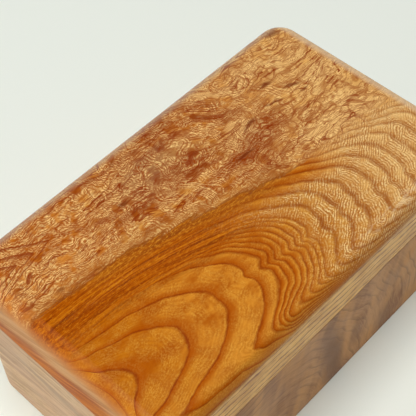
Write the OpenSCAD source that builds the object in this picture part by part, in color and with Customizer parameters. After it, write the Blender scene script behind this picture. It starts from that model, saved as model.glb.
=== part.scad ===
// Hinged wooden keepsake box: a thick one-piece lid on a mitred case.
// The frame is in millimetres, +Z is up, and the origin is the centre of the base.
// +X runs along the length to the right end, and +Y runs to the back, where the hinges are.

/* [Case] */
// Length of the box, from the left end to the right end
box_length = 200; // [150:1:260]
// Depth of the box, from the front to the back
box_depth = 120; // [90:1:180]
// Height of the case, from the base to the seam under the lid
case_height = 64; // [40:1:110]
// Radius of the four upright outer corners
corner_radius = 12; // [6:0.5:16]
// Thickness of the four side boards
side_thickness = 12; // [10:0.5:16]

/* [Lid] */
// Thickness of the lid board
lid_thickness = 28; // [18:1:40]
// Radius of the roundover along the lid's top edge
lid_roundover = 7.5; // [2:0.5:12]

/* [Bottom] */
// Thickness of the bottom panel
bottom_thickness = 6; // [4:0.5:10]
// How far the panel is let into each side board
bottom_rebate = 6; // [3:0.5:8]
// Gap between the panel's edge and its rebate
bottom_gap = 0.15; // [0.05:0.05:0.5]
// Thickness of the felt that covers the floor
felt_thickness = 1.5; // [1:0.25:3]
// Gap between the felt and the side boards
felt_gap = 0.4; // [0.3:0.1:2]

/* [Corner splines] */
// Thickness of the splines that lock the mitres
spline_thickness = 2; // [1.5:0.25:2.5]
// Width of a spline, across the mitre
spline_width = 5; // [3:0.5:5]
// Wood left below and above a spline
spline_stop = 5; // [5:0.5:10]
// Gap between a spline and its slot, on each face
spline_gap = 0.05; // [0.02:0.01:0.1]

/* [Hinges] */
// Length of a hinge along its pin
hinge_length = 22; // [16:1:30]
// From the end of the box to the middle of a hinge
hinge_from_end = 45; // [30:1:55]
// From the back of the box to the hinge axis
hinge_inset = 3.6; // [3.2:0.1:4]
// Angle at which the bevels along the back meet and stop the lid
stop_angle = 96; // [90:1:110]
// Outer radius of the barrel
barrel_radius = 2.4; // [2:0.1:3]
// Radius of the hinge pin
pin_radius = 1.1; // [0.8:0.05:1.3]
// Thickness of a leaf
leaf_thickness = 1; // [0.8:0.1:1.2]
// Wood left between a leaf and the inside of the case
leaf_lip = 1; // [0.5:0.1:1.5]
// Length of the lid leaf's knuckle, in the middle of the barrel
middle_knuckle = 7.4; // [5:0.2:9]

/* [Hinge fits] */
// Gap between the two leaves when the lid is shut
leaf_gap = 0.2; // [0.1:0.05:0.4]
// Gap between one knuckle and the next
knuckle_gap = 0.15; // [0.1:0.05:0.3]
// Radial clearance of the pin in the case leaf, where it is held
pin_seat_clearance = 0.02; // [0.01:0.01:0.04]
// Radial clearance of the pin in the lid leaf, which turns on it
pin_run_clearance = 0.05; // [0.03:0.01:0.1]
// Gap between the barrel and the wood, and between a leaf and the other's knuckles
barrel_gap = 0.3; // [0.2:0.05:0.4]
// Gap round a leaf in its mortise
mortise_gap = 0.1; // [0.05:0.05:0.2]

/* [Screws] */
// Radius of a screw's countersunk head
head_radius = 1.3; // [1.2:0.05:1.35]
// Radius of a screw's shank
shank_radius = 0.75; // [0.6:0.05:0.9]
// Length of a screw, from the face of its head to its tip
screw_length = 8; // [6:0.5:12]
// From the middle of a hinge to each of its screws
screw_offset = 7; // [4:0.25:8]
// Radial clearance of a screw in its leaf and in the wood
screw_clearance = 0.03; // [0.02:0.01:0.05]
// Width of the slot in a screw's head
slot_width = 0.4; // [0.3:0.05:0.5]
// Depth of the slot in a screw's head
slot_depth = 0.45; // [0.3:0.05:0.6]

/* [Hidden] */
$fn = 96;
// A cutting shape runs this far past the face that it opens.
past = 1;

inner_length = box_length - 2 * side_thickness;
inner_depth = box_depth - 2 * side_thickness;

// The roundover stays within the upright corner and within the lid's own edge.
roundover = min(lid_roundover, corner_radius - 1, lid_thickness - 4);

// A mitre runs from the inside corner out to the rounded outside corner.
mitre_length = side_thickness * sqrt(2) - corner_radius * (sqrt(2) - 1);
spline_bottom = bottom_thickness + spline_stop;
spline_height = case_height - spline_stop - spline_bottom;

hinge_x = box_length / 2 - hinge_from_end;
hinge_y = box_depth / 2 - hinge_inset;
hinge_z = case_height;
leaf_reach = side_thickness - hinge_inset - leaf_lip;
knuckle_length = (hinge_length - middle_knuckle) / 2 - knuckle_gap;
// A leaf's plate stops short of the other leaf's knuckles.
plate_start = barrel_radius + barrel_gap;
screw_reach = (plate_start + leaf_reach) / 2;
mortise_depth = leaf_gap / 2 + leaf_thickness;

LEFT = -1;
RIGHT = 1;
FRONT = -1;
BACK = 1;
// The case is below the hinge axis and the lid is above it.
CASE = -1;
LID = 1;

// ---- Outlines ----

// A rectangle in plan with four rounded corners
module rounded_plan(length, depth, radius) {
    square([length - 2 * radius, depth], center = true);
    square([length, depth - 2 * radius], center = true);
    for (x = [-1, 1], y = [-1, 1])
        translate([x * (length / 2 - radius), y * (depth / 2 - radius)])
            circle(r = radius);
}

// The mitred plan of a board that runs along a side of this length, with its outside at -Y
module mitred_plan(length) {
    inside = length / 2 - side_thickness;
    polygon([[-length / 2, 0], [length / 2, 0], [inside, side_thickness], [-inside, side_thickness]]);
}

// Half of the lid's cross-section, from its middle out to the roundover
module lid_half_section(reach) {
    square([reach, lid_thickness - roundover]);
    square([reach - roundover, lid_thickness]);
    translate([reach - roundover, lid_thickness - roundover])
        intersection() {
            circle(r = roundover);
            square(roundover);
        }
}

module lid_section(width) {
    lid_half_section(width / 2);
    mirror([1, 0]) lid_half_section(width / 2);
}

// ---- Joinery cuts ----

module spline_shape(gap) {
    size = [spline_thickness + 2 * gap, spline_width + 2 * gap, spline_height + 2 * gap];
    translate([mitre_length / 2, 0, spline_bottom + spline_height / 2])
        cube(size, center = true);
}

// Places its children on the inside corner, with +X along the mitre
module at_corner(x, y) {
    translate([x * inner_length / 2, y * inner_depth / 2, 0])
        rotate([0, 0, atan2(y, x)])
            children();
}

module spline_slots() {
    for (x = [LEFT, RIGHT], y = [FRONT, BACK])
        at_corner(x, y) spline_shape(spline_gap);
}

module bottom_recess() {
    size = [inner_length + 2 * bottom_rebate, inner_depth + 2 * bottom_rebate];
    translate([0, 0, -past])
        linear_extrude(bottom_thickness + past)
            square(size, center = true);
}

// The bevel along the back of the case or the lid, which opens away from the hinge axis
module back_bevel(part) {
    run = hinge_inset + past;
    rise = part * run * tan(stop_angle / 2);
    translate([-box_length / 2 - past, hinge_y, hinge_z])
        rotate([90, 0, 90])
            linear_extrude(box_length + 2 * past)
                polygon([[0, 0], [run, 0], [run, rise]]);
}

// ---- Hinge shapes, about an axis along X through the origin ----

module along_pin(radius, length) {
    rotate([0, 90, 0]) cylinder(r = radius, h = length, center = true);
}

module screw_shape(gap) {
    tip_length = 2 * shank_radius;
    neck = head_radius - shank_radius;
    cylinder(r1 = shank_radius + gap, r2 = head_radius + gap, h = neck);
    translate([0, 0, neck - screw_length + tip_length])
        cylinder(r = shank_radius + gap, h = screw_length - tip_length);
    translate([0, 0, neck - screw_length])
        cylinder(r1 = shank_radius / 4 + gap, r2 = shank_radius + gap, h = tip_length);
}

// Places a screw on each end of a case leaf, with the face of its head on the leaf's face
module at_screws() {
    face = -leaf_gap / 2;
    neck = head_radius - shank_radius;
    for (x = [LEFT, RIGHT])
        translate([x * screw_offset, -screw_reach, face - neck])
            children();
}

module screws() {
    neck = head_radius - shank_radius;
    at_screws()
        difference() {
            screw_shape(0);
            translate([0, 0, neck])
                cube([2 * head_radius + past, slot_width, 2 * slot_depth], center = true);
        }
}

// The case half of the pocket that holds a leaf, its screws and half the barrel
module leaf_pocket() {
    width = hinge_length + 2 * mortise_gap;
    reach = leaf_reach + mortise_gap;
    translate([-width / 2, -reach, -mortise_depth])
        cube([width, reach, mortise_depth + past]);
    along_pin(barrel_radius + barrel_gap, hinge_length + 2 * mortise_gap);
    at_screws() screw_shape(screw_clearance);
}

module leaf_plate() {
    translate([-hinge_length / 2, -leaf_reach, -mortise_depth])
        cube([hinge_length, leaf_reach - plate_start, leaf_thickness]);
}

// A knuckle and the tongue that carries it
module knuckle(middle, length) {
    tongue_end = (pin_radius + barrel_radius) / 2;
    translate([middle, 0, 0]) {
        along_pin(barrel_radius, length);
        translate([-length / 2, -plate_start - past / 2, -mortise_depth])
            cube([length, plate_start + past / 2 - tongue_end, leaf_thickness]);
    }
}

module case_leaf_shape() {
    knuckle_x = (hinge_length - knuckle_length) / 2;
    difference() {
        union() {
            leaf_plate();
            for (x = [LEFT, RIGHT]) knuckle(x * knuckle_x, knuckle_length);
        }
        along_pin(pin_radius + pin_seat_clearance, hinge_length + past);
        at_screws() screw_shape(screw_clearance);
    }
}

// Drawn below the axis like the case leaf, and turned over by flip()
module lid_leaf_shape() {
    difference() {
        union() {
            leaf_plate();
            knuckle(0, middle_knuckle);
        }
        along_pin(pin_radius + pin_run_clearance, hinge_length + past);
        at_screws() screw_shape(screw_clearance);
    }
}

module at_hinge(side) {
    translate([side * hinge_x, hinge_y, hinge_z]) children();
}

module flip() {
    mirror([0, 0, 1]) children();
}

// ---- Case ----

module side_board(length, depth, turn) {
    difference() {
        linear_extrude(case_height)
            intersection() {
                rounded_plan(box_length, box_depth, corner_radius);
                rotate([0, 0, turn]) translate([0, -depth / 2]) mitred_plan(length);
            }
        spline_slots();
        bottom_recess();
    }
}

module front_side() {
    color("#8f6d53") side_board(box_length, box_depth, 0);
}

module back_side() {
    color("#8f6d53")
        difference() {
            side_board(box_length, box_depth, 180);
            back_bevel(CASE);
            for (side = [LEFT, RIGHT]) at_hinge(side) leaf_pocket();
        }
}

module left_end() {
    color("#c5a482")
        difference() {
            side_board(box_depth, box_length, 270);
            back_bevel(CASE);
        }
}

module right_end() {
    color("#c5a482")
        difference() {
            side_board(box_depth, box_length, 90);
            back_bevel(CASE);
        }
}

module bottom_panel() {
    margin = 2 * (bottom_rebate - bottom_gap);
    color("#a98058")
        linear_extrude(bottom_thickness)
            square([inner_length + margin, inner_depth + margin], center = true);
}

module floor_felt() {
    color("#4a1f1c")
        translate([0, 0, bottom_thickness])
            linear_extrude(felt_thickness)
                square([inner_length - 2 * felt_gap, inner_depth - 2 * felt_gap], center = true);
}

module spline(x, y) {
    color("#6b4326") at_corner(x, y) spline_shape(0);
}

module spline_front_left() spline(LEFT, FRONT);
module spline_front_right() spline(RIGHT, FRONT);
module spline_back_left() spline(LEFT, BACK);
module spline_back_right() spline(RIGHT, BACK);

// ---- Lid ----

module lid_blank() {
    bar_length = box_length - 2 * corner_radius;
    bar_depth = box_depth - 2 * corner_radius;
    rotate([90, 0, 90])
        linear_extrude(bar_length, center = true) lid_section(box_depth);
    rotate([90, 0, 0])
        linear_extrude(bar_depth, center = true) lid_section(box_length);
    for (x = [-1, 1], y = [-1, 1])
        translate([x * bar_length / 2, y * bar_depth / 2, 0])
            rotate_extrude() lid_half_section(corner_radius);
}

module lid_board() {
    color("#b9701e")
        difference() {
            translate([0, 0, case_height]) lid_blank();
            back_bevel(LID);
            for (side = [LEFT, RIGHT]) at_hinge(side) flip() leaf_pocket();
        }
}

// ---- Hinges ----

module case_leaf(side) {
    color("#b8934a") at_hinge(side) case_leaf_shape();
}

module lid_leaf(side) {
    color("#b8934a") at_hinge(side) flip() lid_leaf_shape();
}

module pin(side) {
    color("#d2b26a") at_hinge(side) along_pin(pin_radius, hinge_length);
}

module case_screws(side) {
    color("#d2b26a") at_hinge(side) screws();
}

module lid_screws(side) {
    color("#d2b26a") at_hinge(side) flip() screws();
}

module hinge_left_case_leaf() case_leaf(LEFT);
module hinge_left_lid_leaf() lid_leaf(LEFT);
module hinge_left_pin() pin(LEFT);
module hinge_left_case_screws() case_screws(LEFT);
module hinge_left_lid_screws() lid_screws(LEFT);
module hinge_right_case_leaf() case_leaf(RIGHT);
module hinge_right_lid_leaf() lid_leaf(RIGHT);
module hinge_right_pin() pin(RIGHT);
module hinge_right_case_screws() case_screws(RIGHT);
module hinge_right_lid_screws() lid_screws(RIGHT);

front_side();
back_side();
left_end();
right_end();
bottom_panel();
floor_felt();
spline_front_left();
spline_front_right();
spline_back_left();
spline_back_right();
lid_board();
hinge_left_case_leaf();
hinge_left_lid_leaf();
hinge_left_pin();
hinge_left_case_screws();
hinge_left_lid_screws();
hinge_right_case_leaf();
hinge_right_lid_leaf();
hinge_right_pin();
hinge_right_case_screws();
hinge_right_lid_screws();
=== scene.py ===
"""A hinged wooden keepsake box: its boards, hinges and lining, with their finishes.

The frame is in metres. +X runs to the right end, +Y to the back, and +Z up from the base.
"""

import math

import bpy
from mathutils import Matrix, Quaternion, Vector


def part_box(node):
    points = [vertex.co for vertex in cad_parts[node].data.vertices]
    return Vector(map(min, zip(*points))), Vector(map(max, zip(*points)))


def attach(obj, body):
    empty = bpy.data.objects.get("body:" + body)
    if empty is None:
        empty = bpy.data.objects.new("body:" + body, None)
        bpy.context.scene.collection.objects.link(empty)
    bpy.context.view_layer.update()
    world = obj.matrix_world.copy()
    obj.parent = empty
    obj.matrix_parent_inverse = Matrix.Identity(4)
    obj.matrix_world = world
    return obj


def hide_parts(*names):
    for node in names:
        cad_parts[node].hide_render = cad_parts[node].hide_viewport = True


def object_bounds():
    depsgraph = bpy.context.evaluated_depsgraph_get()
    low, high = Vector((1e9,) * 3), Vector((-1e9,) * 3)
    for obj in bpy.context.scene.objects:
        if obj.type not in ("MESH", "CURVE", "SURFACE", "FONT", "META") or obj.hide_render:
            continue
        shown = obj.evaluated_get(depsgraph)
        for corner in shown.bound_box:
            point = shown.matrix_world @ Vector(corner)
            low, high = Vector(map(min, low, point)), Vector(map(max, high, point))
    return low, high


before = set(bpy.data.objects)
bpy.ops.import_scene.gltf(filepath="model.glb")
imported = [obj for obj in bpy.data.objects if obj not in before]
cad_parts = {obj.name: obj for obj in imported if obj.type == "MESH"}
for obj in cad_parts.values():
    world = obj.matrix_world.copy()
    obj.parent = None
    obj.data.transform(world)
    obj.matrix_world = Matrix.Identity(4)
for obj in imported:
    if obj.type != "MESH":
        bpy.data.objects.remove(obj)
cad_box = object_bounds()

# ---- Sizes, taken from the frame ----

MM = 0.001
LOW, HIGH = cad_box
LID_LOW, LID_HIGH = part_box("lid_board")
SEAM = LID_LOW.z
LID_TOP = LID_HIGH.z
END_LOW, END_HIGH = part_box("left_end")
WALL = END_HIGH.x - END_LOW.x
INNER_LENGTH = HIGH.x - LOW.x - 2 * WALL
INNER_DEPTH = HIGH.y - LOW.y - 2 * WALL
PIN_LOW, PIN_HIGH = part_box("hinge_left_pin")
HINGE_Y = (PIN_LOW.y + PIN_HIGH.y) / 2
BARREL_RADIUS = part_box("hinge_left_case_leaf")[1].y - HINGE_Y
PANEL_LOW, PANEL_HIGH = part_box("bottom_panel")
FELT_LOW, FELT_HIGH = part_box("floor_felt")

# ---- Sizes of the shaping ----

CORNER_RADIUS = 12 * MM
ROUNDOVER = 7.5 * MM
STOP_ANGLE = math.radians(96)
# This much is rounded off the edges at the seam, along the line of the stop, at the base, and of the
# bottom panel and the felt.
SEAM_ARRIS = 0.45 * MM
LINE_ARRIS = 0.25 * MM
BASE_ARRIS = 0.8 * MM
PANEL_ARRIS = 0.4 * MM
FELT_ARRIS = 0.5 * MM
# The pocket of a hinge leaf, and the gaps round the leaf, its barrel and the bottom panel.
MORTISE_DEPTH = 1.1 * MM
LEAF_GAP = 0.1 * MM
BARREL_GAP = 0.3 * MM
PANEL_GAP = 0.05 * MM
# How many flats make up each kind of rounded edge.
CORNER_FLATS = 18
ROUNDOVER_FLATS = 12
ARRIS_FLATS = 3
FINE_FLATS = 2
BORE_FLATS = 48
# Points lie on one level or line when they differ by less than LEVEL, and are one point when they
# differ by less than SAME.
LEVEL = 0.01 * MM
SAME = 0.001 * MM
# Edges are sharp above this angle.
SHARP_ANGLE = math.radians(35)

# ---- Modelling ----


def deselect():
    bpy.ops.object.select_all(action="DESELECT")


def start(name, low, high):
    """A block between two corners, ready to be shaped. Its place is in its mesh."""
    deselect()
    low, high = Vector(low), Vector(high)
    bpy.ops.mesh.primitive_cube_add(size=1, location=(low + high) / 2)
    piece = bpy.context.object
    piece.name = name
    piece.data.name = name
    piece.scale = high - low
    bpy.ops.object.transform_apply(location=True, rotation=True, scale=True)
    return piece


def only(piece):
    deselect()
    piece.select_set(True)
    bpy.context.view_layer.objects.active = piece


def copy(piece, name):
    only(piece)
    bpy.ops.object.duplicate()
    made = bpy.context.object
    made.name = name
    made.data.name = name
    return made


def pick_edges(piece, wanted):
    """Selects the edges whose two ends pass the test, and enters edit mode."""
    only(piece)
    bpy.context.tool_settings.mesh_select_mode = (False, True, False)
    mesh = piece.data
    for part in (mesh.vertices, mesh.edges, mesh.polygons):
        for item in part:
            item.select = False
    for edge in mesh.edges:
        first, second = (mesh.vertices[i].co for i in edge.vertices)
        edge.select = wanted(first, second)
    bpy.ops.object.mode_set(mode="EDIT")


def round_edges(piece, wanted, radius, flats):
    pick_edges(piece, wanted)
    bpy.ops.mesh.bevel(offset=radius, segments=flats, affect="EDGES", profile=0.5, clamp_overlap=False)
    bpy.ops.object.mode_set(mode="OBJECT")


def slice_off(piece, point, outward):
    """Cuts away what lies beyond a plane, and closes the cut."""
    only(piece)
    bpy.ops.object.mode_set(mode="EDIT")
    bpy.ops.mesh.select_all(action="SELECT")
    bpy.ops.mesh.bisect(
        plane_co=point, plane_no=outward, use_fill=True, clear_outer=True, threshold=SAME / 10
    )
    bpy.ops.object.mode_set(mode="OBJECT")


def carve(piece, cutter):
    """Takes the cutter's shape out of a piece, and removes the cutter."""
    only(piece)
    cut = piece.modifiers.new("cut", "BOOLEAN")
    cut.operation = "DIFFERENCE"
    cut.object = cutter
    cut.solver = "EXACT"
    bpy.ops.object.modifier_apply(modifier=cut.name)
    bpy.data.objects.remove(cutter)


def finish_surface(piece):
    """Smooth shading that keeps the flats flat and the cut edges crisp."""
    only(piece)
    bpy.ops.object.mode_set(mode="EDIT")
    bpy.ops.mesh.select_all(action="SELECT")
    bpy.ops.mesh.remove_doubles(threshold=SAME)
    bpy.ops.mesh.normals_make_consistent(inside=False)
    bpy.ops.object.mode_set(mode="OBJECT")
    bpy.ops.object.shade_smooth_by_angle(angle=SHARP_ANGLE)
    weighted = piece.modifiers.new("weighted", "WEIGHTED_NORMAL")
    weighted.keep_sharp = True
    bpy.ops.object.modifier_apply(modifier=weighted.name)


def both_ends(test):
    """A test for edges, from one for a point that both of their ends have to pass."""
    return lambda first, second: test(first) and test(second)


def at_height(height):
    """A test for edges that lie level at a height."""
    return both_ends(lambda point: abs(point.z - height) < LEVEL)


def upright(first, second):
    """A test for upright edges."""
    return abs(first.x - second.x) < SAME and abs(first.y - second.y) < SAME


def rounded_block(name, low_z, high_z):
    """The box's own outline between two heights, with its upright corners rounded."""
    block = start(name, (LOW.x, LOW.y, low_z), (HIGH.x, HIGH.y, high_z))
    round_edges(block, upright, CORNER_RADIUS, CORNER_FLATS)
    return block


def bevel_back(piece, side):
    """The bevel along the back that stops the lid. side is 1 for the lid and -1 for the case."""
    half = STOP_ANGLE / 2
    outward = (0, math.sin(half), -side * math.cos(half))
    slice_off(piece, (0, HINGE_Y, SEAM), outward)
    on_line = both_ends(lambda point: abs(point.y - HINGE_Y) < LEVEL and abs(point.z - SEAM) < LEVEL)
    round_edges(piece, on_line, LINE_ARRIS, FINE_FLATS)


def hinge_pocket(piece, node, side):
    """The mortise for a leaf and half of the barrel of one hinge."""
    low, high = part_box(node)
    low_z, high_z = sorted((SEAM - side * MM, SEAM + side * MORTISE_DEPTH))
    low_corner = (low.x - LEAF_GAP, low.y - LEAF_GAP, low_z)
    high_corner = (high.x + LEAF_GAP, HINGE_Y, high_z)
    carve(piece, start("mortise", low_corner, high_corner))
    deselect()
    bpy.ops.mesh.primitive_cylinder_add(
        vertices=BORE_FLATS,
        radius=BARREL_RADIUS + BARREL_GAP,
        depth=high.x - low.x + 2 * LEAF_GAP,
        location=((low.x + high.x) / 2, HINGE_Y, SEAM),
        rotation=(0, math.pi / 2, 0),
    )
    bore = bpy.context.object
    bpy.ops.object.transform_apply(location=True, rotation=True, scale=True)
    carve(piece, bore)


def make_lid():
    lid = rounded_block("lid", SEAM, LID_TOP)
    round_edges(lid, at_height(LID_TOP), ROUNDOVER, ROUNDOVER_FLATS)
    round_edges(lid, at_height(SEAM), SEAM_ARRIS, ARRIS_FLATS)
    bevel_back(lid, 1)
    for node in ("hinge_left_lid_leaf", "hinge_right_lid_leaf"):
        hinge_pocket(lid, node, 1)
    finish_surface(lid)
    return lid


# The two ends of each case board: the corner where it lies, as signs of X and Y, and the way that
# its mitre faces.
MITRES = {
    "front_board": (((-1, -1), (-1, 1)), ((1, -1), (1, 1))),
    "back_board": (((-1, 1), (-1, -1)), ((1, 1), (1, -1))),
    "left_board": (((-1, -1), (1, -1)), ((-1, 1), (1, 1))),
    "right_board": (((1, -1), (-1, -1)), ((1, 1), (-1, 1))),
}


def make_case():
    """The four side boards: a hollow ring, sawn apart along its mitres."""
    ring = rounded_block("ring", LOW.z, SEAM)
    round_edges(ring, at_height(SEAM), SEAM_ARRIS, ARRIS_FLATS)
    round_edges(ring, at_height(LOW.z), BASE_ARRIS, ARRIS_FLATS)
    bevel_back(ring, -1)
    x, y = INNER_LENGTH / 2, INNER_DEPTH / 2
    carve(ring, start("hollow", (-x, -y, LOW.z - MM), (x, y, SEAM + MM)))
    panel_x, panel_y = PANEL_HIGH.x + PANEL_GAP, PANEL_HIGH.y + PANEL_GAP
    rebate = start("rebate", (-panel_x, -panel_y, LOW.z - MM), (panel_x, panel_y, PANEL_HIGH.z))
    carve(ring, rebate)

    def on_rim(point):
        return abs(point.x) < x + LEVEL and abs(point.y) < y + LEVEL and abs(point.z - SEAM) < LEVEL

    round_edges(ring, both_ends(on_rim), SEAM_ARRIS, ARRIS_FLATS)

    boards = {}
    for name, ends in MITRES.items():
        board = copy(ring, name)
        for (side_x, side_y), outward in ends:
            slice_off(board, (side_x * x, side_y * y, 0), (*outward, 0))
        boards[name] = board
    bpy.data.objects.remove(ring)
    for node in ("hinge_left_case_leaf", "hinge_right_case_leaf"):
        hinge_pocket(boards["back_board"], node, -1)
    for board in boards.values():
        finish_surface(board)
    return boards


def make_panel():
    panel = start("floor_panel", PANEL_LOW, PANEL_HIGH)
    round_edges(panel, lambda first, second: True, PANEL_ARRIS, FINE_FLATS)
    finish_surface(panel)
    return panel


def make_felt():
    """A flat felt sheet, the upper edge a little rounded."""
    felt = start("felt_lining", FELT_LOW, FELT_HIGH)
    round_edges(felt, at_height(FELT_HIGH.z), FELT_ARRIS, ARRIS_FLATS)
    finish_surface(felt)
    return felt


lid = make_lid()
boards = make_case()
panel = make_panel()
felt = make_felt()

# ---- Materials ----


class Value:
    """What a node puts out. Sums and products of numbers add their Math nodes."""

    def __init__(self, painter, socket):
        self.painter = painter
        self.socket = socket

    def __add__(self, other):
        return self.painter.maths("ADD", self, other)

    def __sub__(self, other):
        return self.painter.maths("SUBTRACT", self, other)

    def __rsub__(self, other):
        return self.painter.maths("SUBTRACT", other, self)

    def __mul__(self, other):
        return self.painter.maths("MULTIPLY", self, other)

    def __truediv__(self, other):
        return self.painter.maths("DIVIDE", self, other)

    def __neg__(self):
        return self * -1

    __radd__ = __add__
    __rmul__ = __mul__


class Painter:
    """Adds the nodes of one tree."""

    def __init__(self, tree):
        self.tree = tree

    def node(self, kind, settings=None, inputs=None, output=0):
        """Adds a node: its settings first, then the values or links of its sockets."""
        made = self.tree.nodes.new("ShaderNode" + kind)
        for key, value in (settings or {}).items():
            if key == "stops":
                self.set_stops(made.color_ramp, value)
            elif key == "points":
                self.set_points(made.mapping, value)
            else:
                setattr(made, key, value)
        for key, value in (inputs or {}).items():
            if isinstance(value, Value):
                self.tree.links.new(value.socket, made.inputs[key])
            else:
                made.inputs[key].default_value = value
        return Value(self, made.outputs[output])

    def set_stops(self, ramp, stops):
        while len(ramp.elements) < len(stops):
            ramp.elements.new(0.5)
        for element, (place, colour) in zip(ramp.elements, stops):
            element.position = place
            element.color = colour

    def set_points(self, mapping, points):
        """Straight lines from point to point."""
        curve = mapping.curves[0]
        while len(curve.points) < len(points):
            curve.points.new(0.5, 0.5)
        for made, spot in zip(curve.points, points):
            made.location = spot
            made.handle_type = "VECTOR"
        mapping.update()

    def maths(self, operation, *values):
        return self.node("Math", {"operation": operation}, dict(enumerate(values)))

    def larger(self, first, second):
        return self.maths("MAXIMUM", first, second)

    def smaller(self, first, second):
        return self.maths("MINIMUM", first, second)

    def fraction(self, value):
        return self.maths("FRACT", value)

    def distance(self, first, second):
        return self.maths("ABSOLUTE", first - second)

    def vector(self, operation, *values):
        return self.node("VectorMath", {"operation": operation}, dict(enumerate(values)))

    def join(self, x, y, z):
        return self.node("CombineXYZ", None, {0: x, 1: y, 2: z})

    def split(self, vector):
        part = self.node("SeparateXYZ", None, {0: vector})
        outputs = part.socket.node.outputs
        return [Value(self, outputs[i]) for i in range(3)]

    def stretch(self, vector, factors):
        """The vector times a factor for each axis. A small one draws a pattern out along it."""
        return self.vector("MULTIPLY", vector, factors)

    def noise(self, vector, size, detail=2.0, roughness=0.5, output=0):
        """Noise of this size, around 0.5. Output 1 is a vector of three such numbers."""
        inputs = {"Vector": vector, "Scale": 1 / size, "Detail": detail, "Roughness": roughness}
        return self.node("TexNoise", None, inputs, output)

    def drift(self, vector, size, reach, detail=1.0):
        """The vector, moved about by up to reach, which may differ along X, Y and Z."""
        push = self.vector("SUBTRACT", self.noise(vector, size, detail, output=1), (0.5, 0.5, 0.5))
        reach = reach if isinstance(reach, tuple) else (reach, reach, reach)
        return self.vector("ADD", vector, self.stretch(push, tuple(2 * r for r in reach)))

    def step(self, value, start, end):
        """0 before start, 1 past end, and smooth between them."""
        settings = {"interpolation_type": "SMOOTHSTEP"}
        inputs = {"Value": value, "From Min": start, "From Max": end}
        return self.node("MapRange", settings, inputs)

    def spot(self, vector, centre, size, turn):
        """1 in the middle of an oval and 0 outside it. The oval is turned by an angle in degrees."""
        # It reaches so far along Z that the height hardly counts.
        inputs = {"Vector": vector, "Location": (*centre, 0), "Scale": (*size, 1000)}
        inputs["Rotation"] = (0, 0, math.radians(turn))
        within = self.node("Mapping", {"vector_type": "TEXTURE"}, inputs)
        away = self.node("VectorMath", {"operation": "LENGTH"}, {0: within}, "Value")
        return self.step(away, 1, 0.15)

    def blotch(self, colour, vector, tint, spots):
        """The colour, with ovals of a tint: the middle, half size, turn and depth of each."""
        for centre, size, turn, depth in spots:
            colour = self.mix(self.spot(vector, centre, size, turn) * depth, colour, tint)
        return colour

    def wave(self, phase):
        """From 0 to 1 and back for each whole number of the phase."""
        return self.maths("SINE", phase * (2 * math.pi)) * 0.5 + 0.5

    def mix(self, factor, first, second):
        """The first at 0 and the second at 1. They may be colours or numbers."""
        return self.node("Mix", {"data_type": "RGBA"}, {0: factor, 6: first, 7: second}, 2)

    def ramp(self, value, *stops):
        return self.node("ValToRGB", {"stops": stops}, {0: value})


class Finish(Painter):
    """A material, and the nodes that paint it."""

    def __init__(self, name, **gloss):
        self.material = bpy.data.materials.new(name)
        self.material.use_nodes = True
        super().__init__(self.material.node_tree)
        self.shader = self.tree.nodes["Principled BSDF"]
        for socket, value in gloss.items():
            self.shader.inputs[socket.replace("_", " ")].default_value = value

    def place(self):
        """The point on the piece, in millimetres."""
        spot = self.node("TexCoord", None, None, "Object")
        return self.node("VectorMath", {"operation": "SCALE"}, {0: spot, "Scale": 1 / MM})

    def edges(self, reach):
        """1 along the sharp edges and 0 on the flats, within this many metres of them."""
        shape = self.node("NewGeometry", None, None, "True Normal")
        softened = self.node("Bevel", {"samples": 4}, {"Radius": reach})
        turned = self.node("VectorMath", {"operation": "DOT_PRODUCT"}, {0: shape, 1: softened}, "Value")
        return self.step(turned, 0.97, 0.8)

    def paint(self, **sockets):
        for name, value in sockets.items():
            self.tree.links.new(value.socket, self.shader.inputs[name.replace("_", " ")])

    def bump(self, height, depth):
        """Relief from a height that runs from 0 to 1, this deep in metres."""
        bumped = self.node("Bump", None, {"Height": height, "Distance": depth, "Strength": 1.0})
        self.paint(Normal=bumped)


def rgb(red, green, blue):
    """A colour given as it shows on screen, from 0 to 255, as the shader's linear colour."""
    parts = []
    for part in (red, green, blue):
        share = part / 255
        parts.append(share / 12.92 if share <= 0.04045 else ((share + 0.055) / 1.055) ** 2.4)
    return (*parts, 1)


def worn_edges(wood, place):
    """1 where handling has worn the edges most."""
    return wood.edges(0.6 * MM) * wood.step(wood.noise(place, 5, 3, 0.6), 0.4, 0.65)


def dull_patches(wood, place):
    """1 where the sheen is dullest."""
    return wood.step(wood.noise(place, 22, 3, 0.6), 0.35, 0.65)


def wear_wood(wood, place, colour, fibre, sheen):
    """Handling wear on the edges, a sheen that varies, and relief from the open grain."""
    colour = wood.mix(worn_edges(wood, place) * 0.3, colour, rgb(232, 200, 158))
    roughness = sheen + dull_patches(wood, place) * 0.1 + (1 - fibre) * 0.08
    wood.paint(Base_Color=colour, Roughness=roughness)
    wood.bump(fibre, 0.06 * MM)
    return wood.material


# The lid's top, right end, back and front in mm, the unit of every pattern.
TOP = LID_TOP / MM
END = HIGH.x / MM
BACK = HIGH.y / MM
FRONT = LOW.y / MM
# Where the growth rings cross the middle of the figure, in mm along the lid.
WIDE_RINGS = (-330, -300, -272, -240, -212, -186, -158, -132, -108, -85, -59, -38.5, -22)
CLOSE_RINGS = (-14, -10.5, -7, -3.5, 0, 3.5, 7, 9.5)
EVEN_RINGS = (18.5, 28.5, 37.5, 48.5, 57, 66, 75, 84, 92, 101, 110, 119, 128, 137, 146)
RINGS = WIDE_RINGS + CLOSE_RINGS + EVEN_RINGS
# The middle of the figure in Y, and how far a ring moves along the lid for each mm of depth.
FIGURE_MIDDLE = -29
RING_SLOPE = 7.1
# A shallow dent runs across the rings: its place in Y at the middle of the lid, slope and width.
DENT_MIDDLE, DENT_SLOPE, DENT_WIDTH = -35.5, -0.17, 2.2

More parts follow.
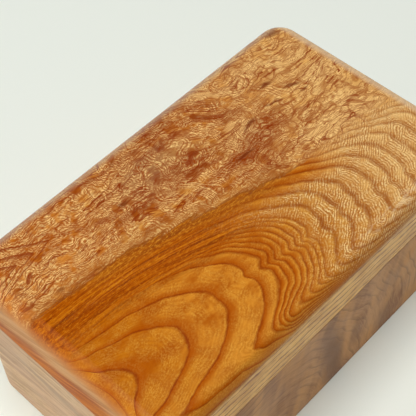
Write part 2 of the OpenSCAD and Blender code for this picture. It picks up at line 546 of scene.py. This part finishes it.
# A grey cloud and a dark one in the burl: the middle and half size of each in mm, and its turn in
# degrees. Then dark patches and small dark flecks, each also with its depth.
BURL_CLOUD = ((-12, 36), (34, 20), 0)
BURL_DUSK = ((30, 14), (30, 13), 0)
BURL_PATCHES = (
    ((26, 12), (24, 11), 0, 0.85),
    ((6, 26), (30, 8), -4, 0.8),
    ((-46, 34), (16, 6), -30, 0.4),
    ((60, 5.5), (15, 4), -8, 0.55),
    ((28, 39), (24, 3), -32, 0.6),
    ((44, 17), (20, 9), 0, 0.75),
)
BURL_FLECKS = (
    ((60, 33), (6, 1.8), -8, 0.8),
    ((68, 24), (6, 1.6), -25, 0.8),
    ((37, 22), (6, 1.5), 12, 0.8),
    ((23, 12), (8, 1.2), -4, 0.8),
    ((55, 22.5), (8, 1.0), -20, 0.8),
    ((70, 18.5), (4, 1.2), 0, 0.8),
    ((-79, 19), (3, 1.2), -10, 0.8),
    ((-32, 32), (4, 1.6), -15, 0.8),
    ((88, 53), (7, 3), -20, 0.8),
)


def ring_field(wood, place):
    """The place along the lid where the growth ring through each point crosses the middle."""
    x, y, z = wood.split(place)
    behind = wood.larger(y - FIGURE_MIDDLE, 0)
    before = wood.larger(FIGURE_MIDDLE - y, 0)

    # Behind the middle the rings sweep back and to the left, and run together at the left end.
    left = wood.larger(-20 - x, 0)
    pulled = x + left * wood.step(behind, 16, 50) * 0.72
    sweep = wood.step(x, 10, 60) * 0.03 + wood.step(x, 60, 95) * 0.05 + 0.05
    upper = pulled + sweep * behind * behind
    short = wood.smaller(behind, 24)
    upper = upper + short * short * (1 - wood.step(upper, -72, -22)) * 0.045

    # In front of it they curl under more and more tightly.
    curl = 0.0014 - 0.0005 * wood.step(x, -30, 0) - 0.0005 * wood.step(x, 5, 55)
    lower = x + curl * before * before * before
    lower = lower + wood.larger(-22 - lower, 0) * wood.step(before, 0, 38) * 0.85

    rings = upper + lower - x
    off_dent = (y - DENT_MIDDLE - x * DENT_SLOPE) / DENT_WIDTH
    dent = wood.maths("EXPONENT", -(off_dent * off_dent))
    rings = rings + dent * (2.6 * wood.step(x, -45, -20) - 0.8 * wood.step(x, 8, 20))
    return rings + (z - TOP) * RING_SLOPE


def count_rings(wood, rings):
    """The number of rings to the left of a place. It is whole on each ring's line."""
    span = RINGS[-1] - RINGS[0]
    last = len(RINGS) - 1
    points = [((ring - RINGS[0]) / span, i / last) for i, ring in enumerate(RINGS)]
    return wood.node("FloatCurve", {"points": points}, {"Value": (rings - RINGS[0]) / span}) * last


def ripples(wood, place, angle, period, waver):
    """Fine ripples across the grain, at an angle in degrees. They waver by a share of the period."""
    turned = wood.drift(wood.drift(place, 15, waver * period), 3, waver * period * 0.36)
    x, y, z = wood.split(turned)
    slant = math.radians(angle)
    across = y * math.cos(slant) - x * math.sin(slant) + z * 0.6
    return wood.wave(across / period)


def pore_dots(wood, place, size):
    """Pale dots between the open pores."""
    return wood.step(wood.noise(place, size, 2, 0.7), 0.38, 0.62)


def ring_lines(wood, place, rings):
    """The dark line of each ring, the stain after it, where rings are close, and how lines fade."""
    after = wood.fraction(count_rings(wood, rings) + 0.02)
    even = wood.step(rings, 9, 19)
    close = wood.step(rings, -24, -14) * (1 - even)
    # The lines and the stain are wider where the rings are close or even.
    width = 0.038 + close * 0.122 + even * 0.102
    fade = wood.step(wood.noise(place, 7, 3, 0.6), 0.3, 0.62)
    line = 1 - wood.step(wood.smaller(after, 1 - after), width * 0.15, width * 1.7)
    stain = 1 - wood.step(after, width, width * 4 + 0.22)
    return line * (fade * 0.5 + 0.5), stain, close, fade


def ring_ground(wood, place, gold, mottle, stain):
    """The ground between the rings: mottled, and gold or orange."""
    x, y, _ = wood.split(place)
    tone = wood.step(mottle, 0.3, 0.66) * (1 - stain * 0.8)
    light = wood.mix(wood.step(x, -75, -50), rgb(204, 122, 18), rgb(224, 146, 44))
    orange = wood.mix(tone * 0.8 + 0.12, rgb(172, 80, 0), light)
    paler_front = wood.step(y, -30, -52) * (1 - stain) * 0.4
    orange = wood.mix(paler_front, orange, rgb(222, 152, 54))
    golden = wood.mix(wood.step(x, 0, 85), rgb(212, 146, 46), rgb(254, 210, 134))
    golden = wood.mix((1 - tone) * 0.45, golden, rgb(196, 128, 50))
    return wood.mix(gold, orange, golden)


def ring_shimmer(wood, place, colour, rings, crossing, pores, gold):
    """The colour with the shimmer of its ripples and pores, pale on one side and dark on the other."""
    # The ripples cross the rings in some places and follow them in others.
    along = wood.wave(rings / 1.4 + (wood.noise(place, 3, 1) - 0.5) * 1.6)
    chosen = wood.step(wood.noise(place, 9, 1), 0.47, 0.56)
    ripple = wood.mix(chosen, crossing, along)
    dashes = wood.step(wood.noise(place, 1.5, 1), 0.36, 0.58)
    shimmer = wood.step(wood.noise(place, 6, 2), 0.3, 0.6)
    shimmer = shimmer + (1 - shimmer) * gold * 0.5
    lit = (pores * (0.75 - gold * 0.35) + ripple * dashes * (0.4 + gold * 0.5)) * shimmer
    pale = wood.mix(gold, rgb(240, 186, 80), rgb(254, 224, 156))
    colour = wood.mix(lit * (gold * 0.58 + 0.26), colour, pale)
    unlit = (1 - pores) * (0.6 - gold * 0.3) + (1 - ripple) * (0.45 + gold * 0.4)
    return wood.mix(unlit * shimmer * (gold * 0.4 + 0.3), colour, rgb(160, 76, 4))


def ring_wood(wood, place, behind_border):
    """The colour of the arched figure: dark ring lines, stain beside them, and pale ripples."""
    x, y, z = wood.split(place)
    deep = wood.step(TOP - z, 4, 9)
    crossing = ripples(wood, place, 33, 1.12, 1.7)
    rough = wood.drift(wood.drift(place, 12, (1.6, 1.2, 0)), 2.2, (0.4, 0.2, 0))
    rings = ring_field(wood, rough) + (crossing - 0.5) * 0.2
    line, stain, close, fade = ring_lines(wood, place, rings)
    mottle = wood.noise(wood.stretch(place, (0.5, 1, 1)), 7, 3, 0.6)
    pores = pore_dots(wood, place, 0.75)

    # The outer rings are gold, and so is the inside of the board. The inner ones are orange.
    gold = wood.step(rings, -10, 26) * wood.step(behind_border, -3, -14)
    gold = wood.larger(gold, wood.step(x, 32, 56))
    gold = wood.larger(gold, deep)
    colour = ring_ground(wood, place, gold, mottle, stain)
    colour = ring_shimmer(wood, place, colour, rings, crossing, pores, gold)

    stained = wood.mix(gold, rgb(176, 80, 0), rgb(178, 104, 30))
    colour = wood.mix(stain * (0.6 - gold * 0.3), colour, stained)
    # Fainter rings lie between them.
    minor = wood.wave(rings / 2.6 + wood.noise(place, 9, 2) * 3) * fade
    colour = wood.mix(minor * (0.3 - gold * 0.18) * (1 - close), colour, rgb(164, 74, 0))
    dark = wood.mix(gold, rgb(138, 48, 2), rgb(152, 80, 26))
    colour = wood.mix(line * (0.8 - close * 0.1 - wood.step(x, 30, 80) * 0.25), colour, dark)

    colour = streak_by_burl(wood, place, colour, rings, behind_border, deep)
    front = wood.step(TOP - z, 5, 8.5) * wood.step(y - FRONT, 6, 2)
    return wood.mix(front, colour, front_face_wood(wood, place, mottle, pores, fade))


def streak_by_burl(wood, place, colour, rings, behind_border, deep):
    """The grain straightens into streaks along the border with the burl."""
    x, _, z = wood.split(place)
    shallow = 1 - deep
    near = wood.step(behind_border, -28, -12) * (1 - wood.step(x, -30, 25)) * shallow
    fibre = wood.join(x * 0.04, behind_border + rings * 0.05, z)
    streaked = wood.ramp(
        wood.noise(wood.drift(fibre, 6, (0, 0.6, 0)), 1.5, 4, 0.72),
        (0.37, rgb(126, 46, 0)),
        (0.46, rgb(162, 72, 0)),
        (0.55, rgb(186, 94, 2)),
        (0.64, rgb(208, 122, 8)),
    )
    colour = wood.mix(near * 0.85, colour, streaked)
    speckle = wood.noise(wood.stretch(place, (0.35, 1, 1)), 0.8, 2, 0.7)
    colour = wood.mix(near * wood.step(speckle, 0.54, 0.68) * 0.45, colour, rgb(226, 142, 28))
    colour = wood.mix(near * wood.step(speckle, 0.46, 0.34) * 0.4, colour, rgb(112, 40, 0))

    # Next to the burl they turn brown, with gold dashes.
    verge = wood.step(behind_border, -8, -2) * shallow
    verge = verge * wood.step(x, -80, -60) * (1 - wood.step(x, 10, 35))
    colour = wood.mix(verge * 0.42, colour, rgb(150, 86, 26))
    return wood.mix(verge * wood.step(speckle, 0.5, 0.62) * 0.5, colour, rgb(220, 146, 44))


def front_face_wood(wood, place, mottle, pores, fade):
    """On the front face the same rings show as soft brown lines on tan."""
    x, _, z = wood.split(place)
    tan = wood.mix(wood.step(mottle, 0.36, 0.64), rgb(202, 144, 64), rgb(234, 178, 92))
    tan = wood.mix(pores * 0.2, tan, rgb(232, 190, 120))
    waver = wood.noise(wood.stretch(place, (0.3, 1, 1)), 7, 3, 0.6) - 0.5
    layer = z + x * 0.088 + waver * 6
    bold = 1 - wood.step(wood.distance(wood.fraction(layer / 4.4), 0.5), 0.03, 0.2)
    thin = 1 - wood.step(wood.distance(wood.fraction(layer / 1.7), 0.5), 0.05, 0.3)
    return wood.mix((bold * 0.8 + thin * 0.3) * (fade * 0.6 + 0.4), tan, rgb(132, 70, 22))


def burl_veins(wood, place, grain, bent):
    """Dark veins along the grain. At the left end they meet in arrow heads that point to the right."""
    _, y, _ = wood.split(place)
    level = wood.fraction(wood.noise(grain, 11, 3, 0.55) * 9)
    broken = wood.step(wood.noise(wood.stretch(place, (0.5, 1, 1)), 9, 2), 0.4, 0.6)
    vein = (1 - wood.step(level, 0.04, 0.3)) * (broken * 0.7 + 0.3)

    bent_x, bent_y, _ = wood.split(bent)
    arrow = bent_x + wood.larger(bent_y - 42, 0) * 1.75 + wood.larger(41 - bent_y, 0) * 3.6
    barb = 1 - wood.step(wood.fraction((arrow + 67) / -8.5 + 0.1), 0.1, 0.5)
    here = wood.step(arrow, -58, -64) * wood.step(y, 26, 31)
    return wood.larger(vein * (1 - here), barb * 0.85 * here)


def burl_ripples(wood, place, shade, along):
    """Ripples that wind at the left end, and elsewhere also cross one another."""
    x, _, _ = wood.split(place)
    swirl_x, swirl_y, _ = wood.split(wood.drift(wood.drift(place, 17, 9), 5, 2.4))
    winding = wood.wave((swirl_y * 0.95 + swirl_x * 0.3) / 1.15 + shade * 7)
    crossing = wood.wave((swirl_x * 0.95 + swirl_y * 0.25 - along * 0.2) / 1.12)
    chosen = wood.step(wood.noise(place, 8, 1), 0.46, 0.55) * wood.step(x, -60, -30)
    dashes = wood.step(wood.noise(place, 1.4, 1), 0.34, 0.56)
    return wood.mix(chosen, winding, crossing) * (dashes * 0.4 + 0.6)


def burl_ground(wood, place, shade, cloud, dusk, red_end):
    """The ground: redder at the left end, paler at the right, and greyer or darker in two clouds."""
    x, y, _ = wood.split(place)
    colour = wood.ramp(
        shade,
        (0.36, rgb(136, 60, 16)),
        (0.45, rgb(172, 90, 24)),
        (0.54, rgb(198, 122, 44)),
        (0.64, rgb(214, 150, 70)),
    )
    colour = wood.mix(red_end * 0.4, colour, rgb(216, 124, 34))
    colour = wood.mix(wood.step(x - y * 0.3, 4, 74) * 0.75, colour, rgb(238, 186, 108))
    colour = wood.mix(cloud * 0.8, colour, rgb(150, 98, 64))
    return wood.mix(dusk * 0.75, colour, rgb(146, 66, 28))


def burl_patches(wood, flow, fibre):
    """The dark patches, broken up by the fibre."""
    patches = 0
    for centre, size, turn, depth in BURL_PATCHES:
        patches = wood.larger(wood.spot(flow, centre, size, turn) * depth, patches)
    return patches * (wood.step(fibre, 0.6, 0.42) * 0.55 + 0.6)


def burl_wood(wood, place, behind_border):
    """The colour of the burl: veins and ripples on a twisted grain, with dark patches."""
    x, y, _ = wood.split(place)
    flow = wood.drift(wood.drift(place, 26, (6, 8, 5)), 8, (2.2, 2.4, 2))
    bent = wood.drift(wood.drift(place, 14, 2.4), 4, 0.7)
    along, across, through = wood.split(flow)
    # Behind the middle of the lid the grain slopes to the front at the right.
    middle = wood.smaller(wood.larger(x - 5, 0), 45)
    across = across + middle * wood.step(y, 20, 34) * 0.55
    grain = wood.join(along * 0.14, across, through)
    shade = wood.noise(grain, 7, 4, 0.6)
    fibre = wood.noise(wood.join(along * 0.12, across, through), 0.7, 3, 0.65)
    ripple = burl_ripples(wood, place, shade, along)
    pores = pore_dots(wood, place, 0.8)

    cloud = wood.spot(flow, *BURL_CLOUD)
    dusk = wood.spot(flow, *BURL_DUSK)
    red_end = wood.step(x, -30, -70)
    colour = burl_ground(wood, place, shade, cloud, dusk, red_end)
    # In the right half, veins wind round paler islands.
    island = wood.noise(wood.drift(wood.stretch(place, (0.6, 1, 1)), 9, (3, 3, 2)), 13, 2, 0.5)
    right_half = wood.step(x, 5, 35)
    outline = 1 - wood.step(wood.fraction(island * 8), 0.05, 0.42)
    colour = wood.mix(right_half * wood.step(island, 0.47, 0.6) * 0.6, colour, rgb(248, 204, 132))
    patches = burl_patches(wood, flow, fibre)
    colour = wood.mix(patches, colour, rgb(134, 56, 22))

    # The pale side of the ripples is faint on the patches. Both sides are fainter at the right end.
    shimmer = wood.step(wood.noise(place, 5, 2), 0.32, 0.54)
    right_end = wood.step(x, 40, 70)
    lit = wood.step(shade, 0.36, 0.52) * 0.5 + 0.5
    pale = (ripple * 0.85 + pores * 0.45) * shimmer * (0.92 - dusk * 0.35 - red_end * 0.08) * lit
    pale = pale * (1 - patches * 0.75) * (1 - cloud * 0.15) * (1 - right_end * 0.2)
    colour = wood.mix(pale, colour, rgb(255, 214, 138))
    unlit = (1 - ripple) * (1 - pores * 0.5) * shimmer * (0.78 - right_end * 0.25)
    colour = wood.mix(unlit, colour, rgb(160, 66, 0))

    colour = wood.mix(wood.step(fibre, 0.53, 0.37) * 0.6, colour, rgb(148, 60, 10))
    colour = wood.mix(right_half * outline * 0.6, colour, rgb(158, 82, 30))
    colour = wood.mix(burl_veins(wood, place, grain, bent) * 0.9, colour, rgb(140, 50, 10))
    colour = wood.blotch(colour, bent, rgb(116, 46, 18), BURL_FLECKS)

    # A duller band lies along the border.
    band = wood.step(behind_border, -1, 1) * wood.step(behind_border, 9, 3)
    return wood.mix(band * (1 - wood.step(x, 20, 45)) * 0.4, colour, rgb(180, 116, 50))


def lid_face_wood(wood, place):
    """The burl in the back half of the lid and the arched figure in the front half, and their seam."""
    x, y, _ = wood.split(place)
    # The border runs from the middle of the left end to the front of the right end, where they merge.
    border = 13 - 26 * wood.step(x, -75, 70) - 0.03 * x
    beyond = y - border
    wisp = wood.noise(wood.stretch(place, (0.16, 1, 1)), 3, 4, 0.7) - 0.5
    merged = wood.step(x, 34, 60)
    burl = wood.step(beyond + wisp * (9 + 10 * merged), -0.9 - 4 * merged, 1.7 + 6 * merged)
    colour = wood.mix(burl, ring_wood(wood, place, beyond), burl_wood(wood, place, beyond))
    seam = wood.step(wood.distance(beyond + wisp * 9, 0.4) / 1.1, 1, 0.15)
    return wood.mix(seam * (1 - wood.step(x, 28, 44)) * 0.6, colour, rgb(134, 66, 14))


def cut_end_wood(wood, place):
    """The cut ends of the lid: slanting streaks, cream above and russet below. The cream is partly a
    paler layer of the wood and partly painted highlight.
    """
    x, y, z = wood.split(place)
    slant = wood.drift(wood.join(x, y * 0.06 - z * 0.02, z + y * 0.36), 8, (1, 0.2, 1.6))
    streak = wood.step(wood.noise(slant, 3, 4, 0.6), 0.36, 0.64)
    russet = wood.mix(streak, rgb(152, 62, 2), rgb(196, 108, 8))
    # Painted highlight in part: the cream above is partly a paler layer of the wood, partly painted
    # highlight.
    cream = wood.mix(streak, rgb(186, 132, 82), rgb(208, 158, 108))
    return wood.mix(wood.step(z + y * 0.14 + (streak - 0.5) * 2, 72, 82), russet, cream)


def lid_wood():
    """Figured hardwood. The paler bands on its ends' roundovers are partly paler layers of the wood and
    partly painted highlight; the greyer band on the back's roundover is painted sheen, and the dark
    band and pale flecks on the front's are painted shade and painted sheen.
    """
    wood = Finish("lid_wood", IOR=1.2)
    place = wood.place()
    x, y, z = wood.split(place)
    below_top = TOP - z
    from_end = END - wood.maths("ABSOLUTE", x)
    from_front = y - FRONT
    colour = lid_face_wood(wood, place)

    # Paler bands show on the ends' roundovers: partly paler layers of the wood, partly painted
    # highlight. The greyer band on the back's roundover is painted sheen.
    end = wood.step(from_end, 5.5, 2.5)
    colour = wood.mix(end * wood.step(below_top, 0.5, 4) * 0.5, colour, rgb(182, 118, 66))
    # Painted highlight: a pale cream band on the right end's roundover.
    colour = wood.mix(wood.step(END - x, 8.5, 5) * 0.6, colour, rgb(234, 204, 164))
    # Painted sheen: the back's roundover is painted greyer.
    behind = wood.step(BACK - y, 8, 4) * (wood.step(below_top, 8, 4.5) * 0.4 + 0.1)
    colour = wood.mix(behind, colour, rgb(164, 140, 118))
    # Painted shade: a dark band along the front roundover. Painted sheen: pale flecks on its right
    # half.
    ring = wood.step(from_front, 7, 3) * wood.step(below_top, 8.5, 6.5) * wood.step(below_top, 0, 2)
    colour = wood.mix(ring * 0.36, colour, rgb(112, 56, 10))
    sheen_fleck_zone = wood.step(from_front, 10, 7) * wood.step(from_front, 2, 5) * wood.step(x, 0, 45)
    flecks = wood.step(wood.noise(wood.stretch(place, (0.4, 1.4, 1)), 1.4, 2, 0.6), 0.46, 0.6)
    colour = wood.mix(sheen_fleck_zone * flecks * 0.28, colour, rgb(246, 226, 184))

    colour = wood.mix(end * wood.step(below_top, 2, 7) * 0.9, colour, cut_end_wood(wood, place))
    worn = worn_edges(wood, place)
    colour = wood.mix(worn * 0.25, colour, rgb(236, 196, 140))

    # The polish is even on the faces and duller on the cut ends, where the grain drinks it.
    soft = wood.step(from_end, 8.5, 4)
    pores = wood.noise(wood.stretch(place, (0.4, 1, 1)), 0.6, 2, 0.6)
    dull = dull_patches(wood, place)
    wood.paint(Base_Color=colour, Roughness=0.2 + dull * 0.05 + worn * 0.1 + soft * 0.3)
    wood.bump(pores, 0.01 * MM)
    return wood.material


# The darker and the paler patches of the long sides, and the greyer ones of the ends: the middle and
# half size of each in mm across its face, its turn in degrees, and its depth.
SIDE_DARK = (
    ((3, 26), (13, 56), 8, 0.9),
    ((20, 26), (6, 18), 6, 0.5),
    ((44, 10), (8, 22), 12, 0.5),
    ((44, 44), (9, 14), 24, 0.3),
    ((-66, 40), (9, 40), -10, 0.35),
)
SIDE_PALE = (
    ((13.5, 30), (4, 46), 2, 0.5),
    ((30, 34), (5, 46), 2, 0.4),
)
END_GREY = (
    ((8, 47), (46, 4.5), 4, 0.55),
    ((20, 40.5), (30, 1.6), 6, 0.4),
    ((-40, 30), (26, 3), -6, 0.4),
)
# How rough the case's boards and splines are where they shine most, and how much they reflect.
CASE_SHEEN = 0.36
CASE_IOR = 1.25


def side_wood():
    """The front and back boards: faint arcs of grain, crossed by darker and paler columns."""
    wood = Finish("side_wood", IOR=CASE_IOR)
    place = wood.place()
    x, y, z = wood.split(wood.drift(wood.drift(place, 30, (3, 2, 2)), 5, 0.25))
    # The arcs are cut from a cone of rings whose middle is low in the left half.
    out, up = x + 46, (z + 14) * 0.86
    arcs = wood.maths("SQRT", out * out + up * up) + y * 0.8
    columns = wood.noise(wood.join(x * 0.9 - z * 0.12, y, z * 0.2), 9, 2)
    ring = wood.fraction(arcs / 5.2 + wood.noise(place, 20, 1) * 2)
    faint = wood.step(wood.noise(wood.stretch(place, (0.4, 1, 0.4)), 8, 2), 0.35, 0.6)
    line = (1 - wood.step(ring, 0.05, 0.36)) * faint
    fibre = wood.noise(wood.join(arcs, y * 2, x * 0.06 + z * 0.04), 0.9, 3, 0.65)

    colour = wood.ramp(
        columns,
        (0.36, rgb(145, 98, 63)),
        (0.48, rgb(166, 117, 75)),
        (0.58, rgb(180, 129, 80)),
        (0.7, rgb(188, 131, 74)),
    )
    colour = wood.mix(wood.step(fibre, 0.38, 0.66) * 0.36, colour, rgb(198, 148, 96))
    colour = wood.mix(line * 0.5, colour, rgb(112, 72, 44))
    face = wood.join(x, z, 0)
    colour = wood.blotch(colour, face, rgb(122, 85, 60), SIDE_DARK)
    colour = wood.blotch(colour, face, rgb(196, 142, 88), SIDE_PALE)
    return wear_wood(wood, place, colour, fibre, CASE_SHEEN)


def end_wood():
    """The left and right boards: pale straight grain, that fans out below a greyer band."""
    wood = Finish("end_wood", IOR=CASE_IOR)
    place = wood.place()
    x, y, z = wood.split(wood.drift(wood.drift(place, 30, (2, 4, 2.5)), 6, 0.4))
    fan = z + 0.1 * y + (y - 40) * wood.step(z, 46, 20) * 0.26
    grain = wood.noise(wood.join(fan, x * 0.8, y * 0.05), 3, 3, 0.6)
    fibre = wood.noise(wood.join(fan, x * 2, y * 0.07), 0.8, 3, 0.65)
    colour = wood.ramp(
        grain,
        (0.34, rgb(174, 137, 105)),
        (0.46, rgb(193, 156, 120)),
        (0.56, rgb(205, 170, 130)),
        (0.68, rgb(214, 182, 138)),
    )
    pink = wood.step(wood.noise(wood.stretch(place, (1, 0.5, 1)), 14, 2), 0.42, 0.62)
    colour = wood.mix(pink * 0.35, colour, rgb(204, 160, 128))
    colour = wood.mix(wood.step(fibre, 0.54, 0.38) * 0.3, colour, rgb(150, 112, 82))
    colour = wood.blotch(colour, wood.join(y, z, 0), rgb(152, 122, 100), END_GREY)
    return wear_wood(wood, place, colour, fibre, CASE_SHEEN)


def panel_wood():
    """The bottom panel: plain-sawn boards' cathedral grain, a little dull from the bench."""
    wood = Finish("panel_wood", IOR=CASE_IOR)
    place = wood.place()
    x, y, z = wood.split(wood.drift(wood.drift(place, 34, (4, 5, 4)), 6, 0.5))
    ring = wood.fraction((y * y * 0.05 + x * 0.16 + z * 0.5) / 5.5)
    line = (1 - wood.step(ring, 0.04, 0.4)) * 0.8
    fibre = wood.noise(wood.join(x * 0.05, y, z), 0.9, 3, 0.65)
    grain = wood.noise(wood.join(x * 0.08, y, z), 6, 3, 0.6)
    colour = wood.mix(wood.step(grain, 0.36, 0.64), rgb(176, 130, 84), rgb(204, 162, 110))
    colour = wood.mix(line * 0.5, colour, rgb(142, 92, 52))
    colour = wood.mix(wood.step(fibre, 0.54, 0.38) * 0.3, colour, rgb(132, 88, 52))
    return wear_wood(wood, place, colour, fibre, 0.42)


def spline_wood():
    """The dark hardwood keys in the corners: fine straight grain that runs up them."""
    wood = Finish("spline_wood", IOR=CASE_IOR)
    place = wood.place()
    x, y, z = wood.split(wood.drift(place, 12, 0.6))
    grain = wood.noise(wood.join(x, y, z * 0.06), 1.4, 3, 0.6)
    fibre = wood.noise(wood.join(x, y, z * 0.08), 0.5, 2, 0.7)
    colour = wood.mix(wood.step(grain, 0.36, 0.64), rgb(84, 50, 30), rgb(122, 80, 50))
    colour = wood.mix(wood.step(fibre, 0.54, 0.4) * 0.4, colour, rgb(56, 32, 20))
    return wear_wood(wood, place, colour, fibre, CASE_SHEEN)


def brass(name, light, dark, polish):
    """Drawn brass: fine scratches along the pin, dull patches, and bright worn edges."""
    metal = Finish(name, Metallic=1.0)
    place = metal.place()
    scratch = metal.noise(metal.stretch(place, (0.12, 1, 1)), 0.25, 3, 0.7)
    patina = metal.step(metal.noise(place, 2.4, 4, 0.6), 0.42, 0.66)
    bright = metal.edges(0.2 * MM) * metal.step(metal.noise(place, 1.6, 2), 0.35, 0.6)
    colour = metal.mix(patina * 0.7, light, dark)
    colour = metal.mix(bright * 0.5, colour, rgb(250, 226, 160))
    metal.paint(Base_Color=colour, Roughness=polish + patina * 0.16 + scratch * 0.12 - bright * 0.08)
    metal.bump(scratch, 0.012 * MM)
    return metal.material


def felt_cloth():
    """Wool felt: short matted fibres, with a nap that lies this way and that."""
    cloth = Finish("felt_cloth", Specular_IOR_Level=0.1, Sheen_Weight=0.35, Sheen_Roughness=0.5)
    place = cloth.place()
    matted = cloth.drift(place, 1.6, 0.7, 2)
    first = cloth.noise(cloth.stretch(matted, (0.35, 1.4, 1)), 0.34, 3, 0.7)
    second = cloth.noise(cloth.stretch(matted, (1.4, 0.35, 1)), 0.34, 3, 0.7)
    fibre = cloth.larger(first, second)
    nap = cloth.step(cloth.noise(place, 16, 3, 0.6), 0.36, 0.66)
    colour = cloth.mix(cloth.step(fibre, 0.42, 0.72), rgb(66, 14, 18), rgb(116, 34, 36))
    colour = cloth.mix(nap * 0.3, colour, rgb(128, 44, 44))
    cloth.paint(Base_Color=colour, Roughness=0.86 + fibre * 0.14)
    cloth.bump(fibre * 0.7 + nap * 0.3, 0.18 * MM)
    return cloth.material


def dress(piece, material):
    piece.data.materials.clear()
    piece.data.materials.append(material)


LID_WOOD = lid_wood()
SIDE_WOOD = side_wood()
END_WOOD = end_wood()
PANEL_WOOD = panel_wood()
SPLINE_WOOD = spline_wood()
HINGE_BRASS = brass("hinge_brass", rgb(216, 176, 98), rgb(150, 112, 56), 0.26)
PIN_BRASS = brass("pin_brass", rgb(226, 190, 116), rgb(160, 124, 68), 0.2)
FELT = felt_cloth()

# ---- What each piece is made of and moves with ----

for piece, body, node, slot, material in (
    (lid, "lid", "lid_board", "lid_wood", LID_WOOD),
    (boards["front_board"], "case", "front_side", "side_wood", SIDE_WOOD),
    (boards["back_board"], "case", "back_side", "side_wood", SIDE_WOOD),
    (boards["left_board"], "case", "left_end", "end_wood", END_WOOD),
    (boards["right_board"], "case", "right_end", "end_wood", END_WOOD),
    (panel, "case", "bottom_panel", "panel_wood", PANEL_WOOD),
    (felt, "case", "floor_felt", "felt", FELT),
):
    dress(piece, material)
    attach(piece, body)
    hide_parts(node)

for name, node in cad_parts.items():
    if name.startswith("spline"):
        dress(node, SPLINE_WOOD)
    elif name.endswith("leaf"):
        dress(node, HINGE_BRASS)
    elif name.startswith("hinge"):
        dress(node, PIN_BRASS)

# ---- Floor, light and camera ----

# How bright the plain wall behind the box looks to the camera, and the tint of the studio's walls.
BACKDROP = 0.8
BACKDROP_TINT = (1.0, 1.0, 0.97, 1)
BLACK = (0, 0, 0, 1)
FLOOR_RADIUS = 8
# The floor fades into the wall from the first of these distances to the second, in mm.
FADE_START, FADE_END = 450, 1600
# Toward the brightest wall, in X and Y.
WINDOW_SIDE = (-0.9, 0.45)
CAMERA_PLACE = Vector((-0.19644, -0.18116, 0.44285))
CAMERA_TARGET = Vector((-0.00954, 0.00382, 0.092))
CAMERA_ROLL = math.radians(-1.84)
CAMERA_LENS = 89.96


def make_floor():
    deselect()
    bpy.ops.mesh.primitive_circle_add(
        vertices=96, radius=FLOOR_RADIUS, fill_type="NGON", location=(0, 0, LOW.z)
    )
    floor = bpy.context.object
    floor.name = "floor"
    bpy.ops.object.transform_apply(location=True, rotation=True, scale=True)
    paper = Finish("floor_paper", Roughness=0.8, Specular_IOR_Level=0.15, Emission_Strength=1.0)
    x, y, _ = paper.split(paper.place())
    far = paper.step(paper.maths("SQRT", x * x + y * y), FADE_START, FADE_END)
    far = far * paper.node("LightPath", None, None, "Is Camera Ray")
    wall = (BACKDROP, BACKDROP, BACKDROP * BACKDROP_TINT[2], 1)
    paper.paint(Base_Color=paper.mix(far, rgb(241, 246, 237), BLACK))
    paper.paint(Emission_Color=paper.mix(far, BLACK, wall))
    dress(floor, paper.material)


def make_window(name, place, target, width, height, radiance):
    """A soft rectangular lamp at a place, facing a target."""
    data = bpy.data.lights.new(name, "AREA")
    data.shape = "RECTANGLE"
    data.size, data.size_y = width, height
    data.energy = radiance * math.pi * width * height
    lamp = bpy.data.objects.new(name, data)
    bpy.context.scene.collection.objects.link(lamp)
    lamp.location = place
    lamp.rotation_mode = "QUATERNION"
    lamp.rotation_quaternion = (Vector(target) - Vector(place)).to_track_quat("-Z", "Y")


def make_world(window_wall, other_walls, ceiling):
    """A studio with a bright wall at the left, dimmer walls elsewhere and a dark ceiling."""
    world = bpy.data.worlds.new("studio")
    bpy.context.scene.world = world
    world.use_nodes = True
    sky = Painter(world.node_tree)
    x, y, z = sky.split(sky.node("TexCoord", None, None, "Generated"))
    facing = sky.step(x * WINDOW_SIDE[0] + y * WINDOW_SIDE[1], -0.2, 0.8)
    wall = other_walls + (window_wall - other_walls) * facing
    level = ceiling + (wall - ceiling) * (1 - sky.step(z, 0.0, 0.4))
    seen = sky.node("LightPath", None, None, "Is Camera Ray")
    level = level + seen * (BACKDROP - level)
    background = world.node_tree.nodes["Background"]
    background.inputs["Color"].default_value = BACKDROP_TINT
    world.node_tree.links.new(level.socket, background.inputs["Strength"])


def make_camera():
    data = bpy.data.cameras.new("camera")
    data.lens = CAMERA_LENS
    data.sensor_width = 36
    data.clip_start = 0.01
    camera = bpy.data.objects.new("camera", data)
    bpy.context.scene.collection.objects.link(camera)
    camera.location = CAMERA_PLACE
    camera.rotation_mode = "QUATERNION"
    aim = (CAMERA_TARGET - CAMERA_PLACE).to_track_quat("-Z", "Y")
    camera.rotation_quaternion = aim @ Quaternion((0, 0, 1), CAMERA_ROLL)
    bpy.context.scene.camera = camera


make_floor()
make_window("softbox", (-0.32, 0.05, 2.2), target=(0, 0, 0.05), width=1.2, height=1.2, radiance=9.2)
make_world(window_wall=3.5, other_walls=0.95, ceiling=0.06)
make_camera()
bpy.context.scene.view_settings.view_transform = "Standard"
